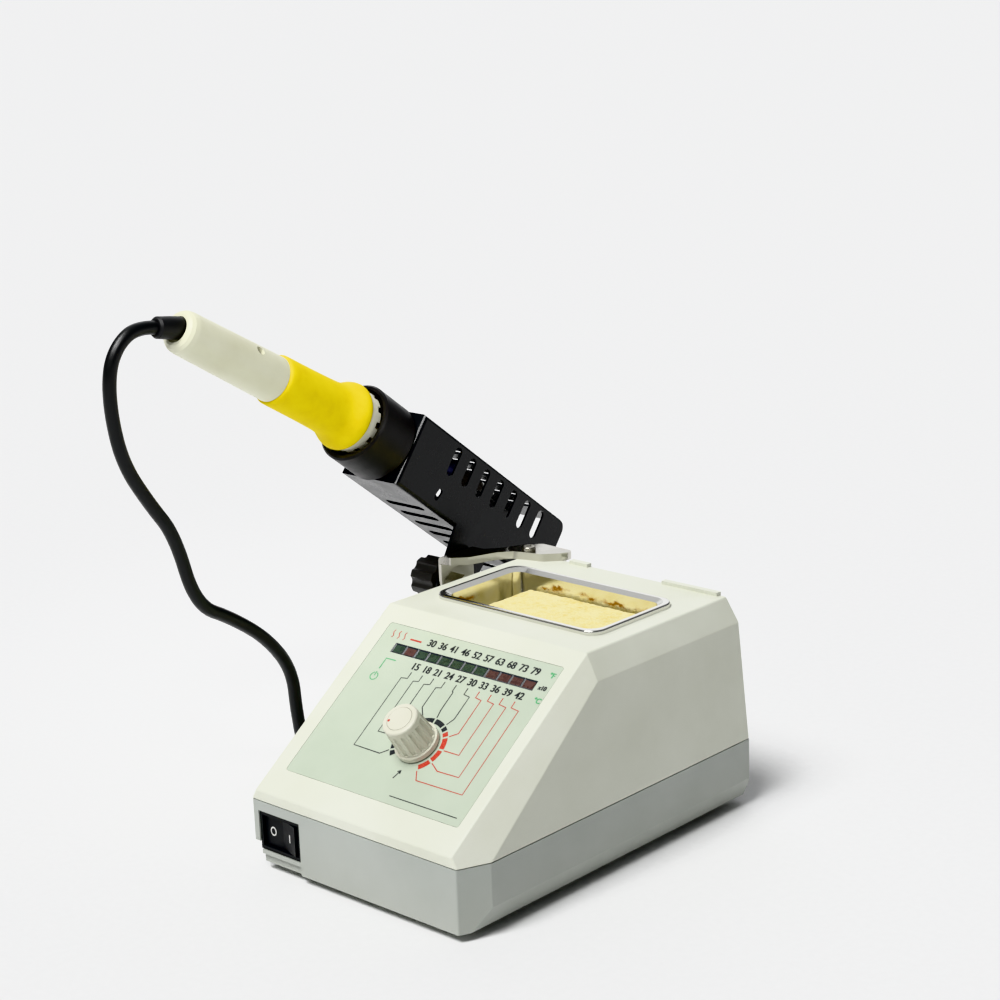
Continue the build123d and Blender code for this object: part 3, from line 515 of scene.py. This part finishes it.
def board_laminate():
    # Glass-epoxy board under green resist: satin, paler where copper lies beneath, in areas of 8 mm
    material, tree, shader, place = begin("board_epoxy_resist")
    brick_width = 0.5
    uneven = add(tree, NOISE, "Fac", {"Vector": place, **grain(4)})
    wire(tree, shader, {
        "Base Color": add(tree, "ShaderNodeTexBrick", "Color", {
            "Vector": place, "Scale": brick_width / (8.333 * MM), "Color1": linear("#2D6B3C"),
            "Color2": linear("#35784A"), "Mortar": linear("#1D4D2A")}),
        "Roughness": add(tree, RANGE, "Result", {"Value": uneven, **span(0.3, 0.7, 0.3, 0.42)}),
        "IOR": 1.55,
    })
    return material


def core_laminations():
    # Silicon steel sheets, stacked and varnished: dark brown-grey, with stripes along the sheets'
    # edges that are drawn 6 mm wide so that they show
    material, tree, shader, place = begin("core_steel_varnished")
    wave_width = math.tau / 20
    sheets = add(tree, "ShaderNodeTexWave", "Fac", {
        "Vector": place, "Scale": wave_width / (6.283 * MM), "Distortion": 0.4, "Detail": 1.0,
    }, bands_direction="Y")
    wire(tree, shader, {
        "Base Color": add(tree, RAMP, "Color", {"Fac": sheets}, stops=((0.2, "#2B2621"), (0.8, "#4A443C"))),
        "Roughness": add(tree, RANGE, "Result", {"Value": sheets, **span(0, 1, 0.35, 0.55)}),
        "Normal": add(tree, BUMP, "Normal", {"Height": sheets, **relief(0.4, 0.1)}),
        "Metallic": 0.6,
    })
    return material


FINISHES = {
    "case": case_abs("case_abs_moulded", "#D8DACD", "#D1D3C4"),
    # The lower shell's finish: a greyer copy of the case ABS, painted shade over the whole shell
    "case painted shade": case_abs("case_abs_painted_shade", "#AEB3AD", "#A6ABA5"),
    "label": label_film(),
    "black ink": screen_ink("ink_black_screened", "#23262A", "#3C4041"),
    "red ink": screen_ink("ink_red_screened", "#B8382C", "#C65B49"),
    "green ink": screen_ink("ink_green_screened", "#4FA56C", "#74B98A"),
    "white ink": screen_ink("ink_white_padded", "#E8E8E4", "#C9C9C6"),
    "light housing": moulded_plastic("light_housing_abs", "#33383E", "#2B2F35", 0.34, 0.4, 0.02),
    "green lens": light_epoxy("light_epoxy_green", "#3D4E40", "#303E35"),
    "red lens": light_epoxy("light_epoxy_red", "#60443F", "#493534"),
    "knob": moulded_plastic("knob_abs_satin", "#D6D5C6", "#CCCBBA", 0.38, 0.5, 0.02),
    "switch": moulded_plastic("switch_nylon_moulded", "#0A0C0F", "#06080A", 0.42, 0.45, 0.03, ior=1.38),
    "tray": tray_stainless(),
    "sponge": sponge_cellulose(),
    "plate": plated_metal("bracket_steel_chromed", "#D2D0C8", "#BDBAB0", 0.17),
    "screw": plated_metal("screw_steel_zinc", "#BEBBB0", "#9C998E", 0.3, wave=4.0),
    "clamp": moulded_plastic("clamp_nylon_moulded", "#302F2D", "#262523", 0.42, 0.5, 0.04),
    "guard": guard_enamel(),
    "collar": collar_phenolic(),
    "handle": moulded_plastic("handle_polyamide_satin", "#E0E0C8", "#D6D5BA", 0.4, 0.5, 0.03),
    "ring": moulded_plastic("ring_polyamide_moulded", "#F2F0DC", "#E8E6CF", 0.42, 0.5, 0.03),
    "grip": grip_foam(),
    "barrel": barrel_stainless(),
    "tip": tip_iron(),
    "heater": moulded_plastic("heater_alumina_fired", "#E6E1D6", "#D5CFC2", 0.55, 0.3, 0.03, ior=1.7),
    "cord": rubber("cord_silicone_extruded", "#0E0F10", "#070808", 0.38, 1.2),
    "bush": rubber("bush_rubber_moulded", "#1C1C1D", "#121213", 0.5, 0.7),
    "foot": rubber("foot_rubber_moulded", "#222223", "#161617", 0.62, 0.8),
    "tie": moulded_plastic("tie_nylon_moulded", "#1A1A1B", "#111112", 0.4, 0.4, 0.02),
    "board": board_laminate(),
    "component": moulded_plastic("component_epoxy_moulded", "#22252B", "#16181D", 0.4, 0.4, 0.03),
    "sink": plated_metal("sink_aluminium_extruded", "#B9BABB", "#9D9EA0", 0.35),
    "brass": plated_metal("contact_brass_tinned", "#C9A765", "#B08F50", 0.28),
    "core": core_laminations(),
    "winding": moulded_plastic("winding_polyester_tape", "#D8B43A", "#C39F2C", 0.3, 1.5, 0.08),
}
NODE_FINISH = {
    "case": ["upper_shell"],
    # The lower shell and the bed under the transformer wear the painted-shade copy
    "case painted shade": ["lower_shell", "transformer_bed"],
    "label": ["front_label"],
    "switch": ["switch_frame", "power_rocker"],
    "knob": ["dial_knob", "dial_cap"],
    "sink": ["heat_sink", "dial_control", "dial_shaft"],
    "plate": ["bracket", "bracket_nut", "dial_nut", "clamp_stud", "transformer_strap"],
    "screw": ["case_screws", "board_screws", "bracket_screw", "collar_screws", "handle_screw",
              "front_screws", "tip_screw", "transformer_screws"],
    "board": ["control_board"],
    "component": ["board_parts"],
    "green lens": ["level_lights"],
    "brass": ["switch_blades"],
    "core": ["transformer_core"],
    "winding": ["transformer_winding"],
    "bush": ["iron_cord_bush", "mains_bush", "strain_relief"],
    "foot": ["rubber_feet"],
    "tray": ["sponge_tray"],
    "clamp": ["clamp_knob"],
    "guard": ["guard"],
    "collar": ["holder_collar"],
    "handle": ["iron_handle", "cord_clamp"],
    "ring": ["front_ring"],
    "barrel": ["barrel"],
    "tip": ["tip"],
    "heater": ["heater"],
    "tie": ["cord_tie"],
}


def coat(piece, finish):
    """Gives a piece one finish all over."""
    piece.data.materials.clear()
    piece.data.materials.append(FINISHES[finish])


for finish, names in NODE_FINISH.items():
    for name in names:
        coat(nodes[name], finish)
coat(cord_from_iron, "cord")
coat(cord_to_case, "cord")


# Pieces

def start_piece(primitive, name, **placing):
    """Adds a primitive on its own, with nothing else selected."""
    if bpy.context.object and bpy.context.object.mode == "EDIT":
        bpy.ops.object.mode_set(mode="OBJECT")
    bpy.ops.object.select_all(action="DESELECT")
    primitive(**placing)
    piece = bpy.context.object
    piece.name = name
    return piece


def finish_piece(piece, place, body, finish=None, angle=35):
    """Puts a piece in its place, in its mesh, and onto its body."""
    if piece.mode == "EDIT":
        bpy.ops.object.mode_set(mode="OBJECT")
    select_only(piece)
    for modifier in list(piece.modifiers):
        bpy.ops.object.modifier_apply(modifier=modifier.name)
    bpy.ops.object.transform_apply(location=True, rotation=True, scale=True)
    piece.data.transform(place)
    bpy.ops.object.shade_smooth_by_angle(angle=math.radians(angle))
    if finish:
        coat(piece, finish)
    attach(piece, body)


def pick(piece, test):
    """Selects in edit mode the faces whose centre and normal pass a test."""
    bpy.ops.object.mode_set(mode="OBJECT")
    for item in [*piece.data.vertices, *piece.data.edges, *piece.data.polygons]:
        item.select = False
    for face in piece.data.polygons:
        face.select = test(face.center, face.normal)
    bpy.ops.object.mode_set(mode="EDIT")
    bpy.ops.mesh.select_mode(type="FACE")


def turned_piece(name, rings):
    """A body of revolution about its third axis, drawn out ring by ring from (along, radius)."""
    along, radius = rings[0]
    piece = start_piece(bpy.ops.mesh.primitive_circle_add, name, vertices=96,
                        radius=radius * MM, location=(0, 0, along * MM))
    bpy.ops.object.mode_set(mode="EDIT")
    bpy.ops.mesh.select_all(action="SELECT")
    for next_along, next_radius in rings[1:]:
        bpy.ops.mesh.extrude_region_move(
            TRANSFORM_OT_translate={"value": (0, 0, (next_along - along) * MM)})
        share = next_radius / radius
        bpy.ops.transform.resize(value=(share, share, 1), center_override=(0, 0, next_along * MM))
        along, radius = next_along, next_radius
    bpy.ops.mesh.select_all(action="SELECT")
    bpy.ops.mesh.remove_doubles(threshold=0.01 * MM)
    bpy.ops.mesh.normals_make_consistent(inside=False)
    bpy.ops.object.mode_set(mode="OBJECT")
    return piece


def make_grip():
    """The foam sleeve, waisted behind its finger flange, in millimetres from the handle's rear end."""
    rings = [
        (51.8, 8.1), (51.8, 9.2), (52.1, 9.8), (52.9, 10.15), (55, 10.2), (60, 10.25), (66, 10.3),
        (72, 10.4), (78, 10.55), (82, 10.7), (85, 11.0), (87, 11.5), (88.6, 12.2), (90, 12.9),
        (91.3, 13.5), (92.6, 13.9), (93.8, 14.05), (94.7, 13.9), (95.3, 13.6), (95.55, 13.1),
        (95.55, 8.1), (80, 8.1), (65, 8.1), (51.8, 8.1),
    ]
    grip = turned_piece("foam_sleeve", rings)
    finish_piece(grip, IRON, "iron", "grip", angle=50)
    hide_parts("foam_grip")


SPONGE_SWELL = 2.6 * MM
SPONGE_FIT = 0.985


def make_sponge():
    """A cut block of sponge: square-edged, swollen above its cut size, and uneven on top."""
    low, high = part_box("sponge")
    high.z += SPONGE_SWELL
    size, middle = high - low, (low + high) / 2
    sponge = start_piece(bpy.ops.mesh.primitive_cube_add, "sponge_block", size=1)
    sponge.scale = size * SPONGE_FIT
    bpy.ops.object.transform_apply(scale=True)
    bpy.ops.object.mode_set(mode="EDIT")
    bpy.ops.mesh.select_all(action="SELECT")
    bpy.ops.mesh.bevel(offset=1.2 * MM, segments=3)
    bpy.ops.object.mode_set(mode="OBJECT")
    remesh = sponge.modifiers.new("even", "REMESH")
    remesh.mode = "VOXEL"
    remesh.voxel_size = 0.8 * MM
    for name, across, depth, level in (("lumps", 6, 0.7, 0.62), ("pores", 1.6, 0.5, 0.6)):
        clouds = bpy.data.textures.new("sponge_" + name, "CLOUDS")
        clouds.noise_scale = across * MM
        rough = sponge.modifiers.new(name, "DISPLACE")
        rough.texture = clouds
        rough.strength = depth * MM
        rough.mid_level = level
    finish_piece(sponge, Matrix.Translation(middle), "pad", "sponge", angle=60)
    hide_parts("sponge")


def on_panel(x, s, rise):
    """A frame on the sloping panel: millimetres across, up from its top edge, and out of it."""
    return PANEL @ Matrix.Translation((x * MM, s * MM, rise * MM))


LIGHTS = 12
RED_LIGHTS = {1, 8, 9, 10, 11}


def make_light_bar():
    """The level lights' housing, with a row of lenses set into it."""
    width, height, depth = 71.6 * MM, 4.3 * MM, 1.4 * MM
    bar = start_piece(bpy.ops.mesh.primitive_cube_add, "light_bar", size=1)
    bar.scale = (width, height, depth)
    bpy.ops.object.transform_apply(scale=True)
    bpy.ops.object.mode_set(mode="EDIT")
    for k in range(1, LIGHTS):
        bpy.ops.mesh.select_all(action="SELECT")
        bpy.ops.mesh.bisect(plane_co=(-width / 2 + k * width / LIGHTS, 0, 0), plane_no=(1, 0, 0))
    pick(bar, lambda centre, normal: normal.z > 0.9)
    bpy.ops.mesh.inset(thickness=0.55 * MM, depth=-0.25 * MM, use_individual=True)
    bpy.ops.object.mode_set(mode="OBJECT")
    for face in bar.data.polygons:
        if face.select:
            index = int((face.center.x + width / 2) / (width / LIGHTS))
            face.material_index = 2 if index in RED_LIGHTS else 1
    for finish in ("light housing", "green lens", "red lens"):
        bar.data.materials.append(FINISHES[finish])
    finish_piece(bar, on_panel(2, -18.35, -0.75), "base", angle=10)
    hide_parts("light_window")


# Print on the panel: its places, sizes and thickness are in millimetres

PRINT_LIFT = 0.01
PRINT_T = 0.03
TEXT_STRETCH = 0.92
TEXT_WEIGHT = 0.05
TEXT_COPIES, TEXT_STEP, TEXT_STEP_UP = 3, 0.09, 0.001


def printed_text(name, words, x, s, size, finish):
    """Letters or figures centred at a place, made bolder by copies of themselves beside each other."""
    text = start_piece(bpy.ops.object.text_add, name)
    text.data.body = words
    text.data.align_x = "CENTER"
    text.data.align_y = "CENTER"
    text.data.size = size
    text.data.extrude = PRINT_T / 2
    text.data.offset = TEXT_WEIGHT
    bpy.ops.object.convert(target="MESH")
    text = bpy.context.object
    bpy.ops.object.mode_set(mode="EDIT")
    bpy.ops.mesh.select_all(action="SELECT")
    for _ in range(TEXT_COPIES):
        bpy.ops.mesh.duplicate_move(TRANSFORM_OT_translate={"value": (TEXT_STEP, 0, TEXT_STEP_UP)})
    bpy.ops.object.mode_set(mode="OBJECT")
    text.scale = (TEXT_STRETCH * MM, MM, MM)
    finish_piece(text, on_panel(x, s, PRINT_LIFT), "base", finish)


def printed_line(name, points, width, finish):
    """A narrow line along points on the panel, flattened to the ink's thickness."""
    line = tube_of(line_along(name, "POLY", [(x * MM, s * MM, 0) for x, s in points]), width * MM, 1)
    line.scale = (1, 1, PRINT_T / width)
    finish_piece(line, on_panel(0, 0, PRINT_LIFT), "base", finish)


# The dial's place on the panel, the angles of its ten marks, and the broad ring round it
DIAL_X, DIAL_S = 6.5, -53.7
DIAL_STOPS = [math.radians(207.3 - 29.3 * k) for k in range(10)]
RING_INNER, RING_OUTER = 9.6, 11.7


def printed_arc(name, start, end, finish):
    """A piece of the broad ring round the dial, spun clockwise from one angle to a lower one."""
    inner, outer, sliver = RING_INNER * MM, RING_OUTER * MM, 0.02 * MM
    arc = start_piece(bpy.ops.mesh.primitive_cube_add, name, size=1,
                      location=((inner + outer) / 2, 0, 0))
    arc.scale = (outer - inner, sliver, PRINT_T * MM)
    bpy.ops.object.transform_apply(location=True, rotation=True, scale=True)
    pick(arc, lambda centre, normal: normal.y > 0.9)
    bpy.ops.mesh.spin(steps=10, angle=start - end, center=(0, 0, 0), axis=(0, 0, 1))
    place = on_panel(DIAL_X, DIAL_S, PRINT_LIFT) @ Matrix.Rotation(start, 4, "Z")
    finish_piece(arc, place, "base", finish)


def dial_place(angle, radius):
    """A place on the panel at an angle and distance from the dial."""
    return DIAL_X + radius * math.cos(angle), DIAL_S + radius * math.sin(angle)


# Each leader: the column it runs down, where that ends, and where it turns towards the dial, if
# it runs across first
LEADERS = [
    (-20.8, -61.5, -7.3), (-14.5, -53.5, None), (-8.9, -42.0, None), (-2.8, -39.1, None),
    (5.9, -38.0, None), (14.1, -40.0, None), (19.9, -45.1, None), (26.0, -53.2, None),
    (32.0, -61.4, 21.6), (38.0, -67.3, 15.6),
]
UPPER_SCALE = ("30", "36", "41", "46", "52", "57", "63", "68", "73", "79")
LOWER_SCALE = ("15", "18", "21", "24", "27", "30", "33", "36", "39", "42")
SCALE_X, SCALE_STEP = -17.8, 5.77
UPPER_ROW, LOWER_ROW = -12.7, -24.0
FIGURE_SIZE, UNIT_SIZE = 4.3, 3.2
FIRST_RED = 6


def print_scales():
    """Two rows of figures with their units, and a leader from each lower figure to the dial's ring."""
    for k, (upper, lower) in enumerate(zip(UPPER_SCALE, LOWER_SCALE)):
        x = SCALE_X + SCALE_STEP * k
        printed_text("scale_upper_" + upper, upper, x, UPPER_ROW, FIGURE_SIZE, "black ink")
        printed_text("scale_lower_" + lower, lower, x, LOWER_ROW, FIGURE_SIZE, "black ink")
        column, elbow, reach = LEADERS[k]
        points = [(x, LOWER_ROW - 2.6), (x, LOWER_ROW - 5.4), (column, LOWER_ROW - 5.9), (column, elbow)]
        if reach is not None:
            points.append((reach, elbow - 0.2))
        points.append(dial_place(DIAL_STOPS[k], RING_OUTER + 0.5))
        finish = "black ink" if k < FIRST_RED else "red ink"
        printed_line("leader_" + lower, points, 0.42, finish)
    printed_text("unit_fahrenheit", "°F", 42.0, UPPER_ROW, UNIT_SIZE, "green ink")
    printed_text("unit_celsius", "°C", 42.6, LOWER_ROW, UNIT_SIZE, "green ink")
    printed_text("unit_tens", "x10", 41.4, -18.6, 2.6, "black ink")


def print_dial_ring():
    """Arcs from mark to mark with gaps between them, which turn red halfway to the first red mark."""
    gap = math.radians(2.2)
    start = DIAL_STOPS[0] + math.radians(16)
    halfway = DIAL_STOPS[FIRST_RED - 1] - math.radians(14.6)
    edges = [start, *DIAL_STOPS[:FIRST_RED], halfway, *DIAL_STOPS[FIRST_RED:]]
    for k, (start, end) in enumerate(zip(edges, edges[1:])):
        finish = "black ink" if k <= FIRST_RED else "red ink"
        printed_arc("dial_arc_" + str(k + 1), start - gap, end + gap, finish)


def print_lamp_marks():
    """Three heat waves and the power sign, each with a leader to its lamp."""
    printed_line("heater_leader", [(-28.6, -13.2), (-22.8, -13.2)], 0.7, "red ink")
    for k in range(3):
        wave = [(-38 + 3 * k + 0.5 * math.sin(1.57 * j), -14.4 + 0.9 * j) for j in range(5)]
        printed_line("heater_mark_" + str(k + 1), wave, 0.35, "red ink")
    x, s, radius = -33.4, -32.2, 1.7
    printed_line("power_leader", [(-28.5, -23.6), (x, -23.6), (x, -28.6)], 0.5, "green ink")
    angles = [0.35 + 0.31 * j for j in range(19)]
    ring = [(x + radius * math.sin(angle), s + radius * math.cos(angle)) for angle in angles]
    printed_line("power_mark_ring", ring, 0.4, "green ink")
    printed_line("power_mark_bar", [(x, s + 2.2), (x, s + 0.2)], 0.4, "green ink")


def print_pointer():
    """An arrow towards the dial, and the rule below it."""
    printed_line("pointer_stem", [(5.4, -69.4), (6.6, -66.0)], 0.45, "black ink")
    printed_line("pointer_head", [(5.5, -66.4), (6.7, -65.6), (7.0, -67.0)], 0.55, "black ink")
    printed_line("panel_rule", [(9.0, -76.2), (42.0, -76.2)], 0.35, "black ink")


def make_dial_mark():
    """A red paint dot near the dial's edge, which points at the first mark."""
    dot = start_piece(bpy.ops.mesh.primitive_cylinder_add, "dial_dot", vertices=32,
                      radius=0.55 * MM, depth=0.5 * MM)
    bpy.ops.object.mode_set(mode="EDIT")
    bpy.ops.mesh.select_all(action="SELECT")
    bpy.ops.mesh.bevel(offset=0.1 * MM, segments=2)
    place = on_panel(*dial_place(DIAL_STOPS[0], 4.2), 15.45)
    finish_piece(dot, place, "dial", "red ink")


def rocker_face(side):
    """The middle of the rocker's left (-1) or right (1) face, with the third axis out of it."""
    place = Matrix.Translation((side * 5.1 * MM, -1.83 * MM, 0))
    slope = Matrix.Rotation(math.radians(-side * 7.6), 4, "Z")
    return SWITCH @ place @ slope @ Matrix.Rotation(math.radians(90), 4, "X")


def make_rocker_marks():
    """The off ring and the on bar, padded onto the rocker's two faces."""
    ring = start_piece(bpy.ops.mesh.primitive_torus_add, "rocker_off_mark", major_segments=40,
                       minor_segments=8, major_radius=1.55 * MM, minor_radius=0.26 * MM)
    ring.scale = (0.85, 1, 0.25)
    finish_piece(ring, rocker_face(-1), "rocker", "white ink")
    bar = start_piece(bpy.ops.mesh.primitive_cube_add, "rocker_on_mark", size=1)
    bar.scale = (0.55 * MM, 3.1 * MM, 0.12 * MM)
    bpy.ops.object.transform_apply(scale=True)
    bpy.ops.object.mode_set(mode="EDIT")
    bpy.ops.mesh.select_all(action="SELECT")
    bpy.ops.mesh.bevel(offset=0.04 * MM, segments=2)
    finish_piece(bar, rocker_face(1), "rocker", "white ink")


make_grip()
make_sponge()
make_light_bar()
print_scales()
print_dial_ring()
print_lamp_marks()
print_pointer()
make_dial_mark()
make_rocker_marks()


# Floor and light

def floor_paper():
    # Seamless paper: pale, matt and faintly fibrous
    material, tree, shader, place = begin("floor_paper_sweep")
    fibre = add(tree, NOISE, "Fac", {"Vector": place, **grain(3, 5)})
    wire(tree, shader, {
        "Base Color": add(tree, RAMP, "Color", {"Fac": fibre}, stops=((0.3, "#EAEAEA"), (0.7, "#EEEEEE"))),
        "Roughness": add(tree, RANGE, "Result", {"Value": fibre, **span(0.3, 0.7, 0.85, 0.95)}),
        "IOR": 1.45,
    })
    return material


def make_floor():
    """A wide sheet just under the feet."""
    floor = start_piece(bpy.ops.mesh.primitive_plane_add, "floor", size=60, location=(0, 0, -0.0002))
    floor.data.materials.append(floor_paper())


def stage_light(kind, name, place, aim, power, **settings):
    """A studio light, aimed at a place."""
    light = bpy.data.lights.new(name, kind)
    light.energy = power
    for setting, value in settings.items():
        setattr(light, setting, value)
    lamp = bpy.data.objects.new(name, light)
    lamp.location = place
    lamp.rotation_euler = (aim - place).to_track_quat("-Z", "Y").to_euler()
    bpy.context.scene.collection.objects.link(lamp)


# The room's own level, and how bright it is seen past the floor's far edge, where it matches it
ROOM_LEVEL = 0.14
BACKDROP_LEVEL = 1.06
# Bright cards in the room: where each stands, how close to it a direction has to be to see its
# soft edge and its full strength, and that strength
CARDS = [((-0.66, 0.7, 0.27), 0.82, 0.96, 0.8), ((-0.41, 0.45, 0.79), 0.76, 0.95, 0.65)]


def light_room():
    """A broad key from above and in front, two bright cards behind, and a snooted light on the iron."""
    world = bpy.data.worlds.new("room")
    bpy.context.scene.world = world
    world.use_nodes = True
    tree = world.node_tree
    toward = add(tree, "ShaderNodeTexCoord", "Generated", {})
    level = ROOM_LEVEL
    for direction, edge, full, strength in CARDS:
        facing = add(tree, "ShaderNodeVectorMath", "Value", {0: toward, 1: Vector(direction).normalized()},
                     operation="DOT_PRODUCT")
        card = add(tree, RANGE, "Result", {"Value": facing, **span(edge, full, 0.0, strength)})
        level = add(tree, MATH, "Value", {0: card, 1: level}, operation="ADD")
    seen = add(tree, "ShaderNodeLightPath", "Is Camera Ray", {})
    shown = add(tree, "ShaderNodeMix", 0, {0: seen, 2: level, 3: BACKDROP_LEVEL})
    wire(tree, tree.nodes["Background"], {"Color": linear("#FBFCFE"), "Strength": shown})
    middle = at(0, 0, 70)
    stage_light("SUN", "key", middle + Vector((-0.02, -0.5, 0.86)), middle, 3.5, angle=math.radians(28))
    stage_light("SPOT", "snoot", at(300, -450, 750), at(-87, -30, 170), 13.0,
                spot_size=math.radians(20), spot_blend=1.0, shadow_soft_size=0.08)
    bpy.context.scene.view_settings.view_transform = "Khronos PBR Neutral"


make_floor()
light_room()
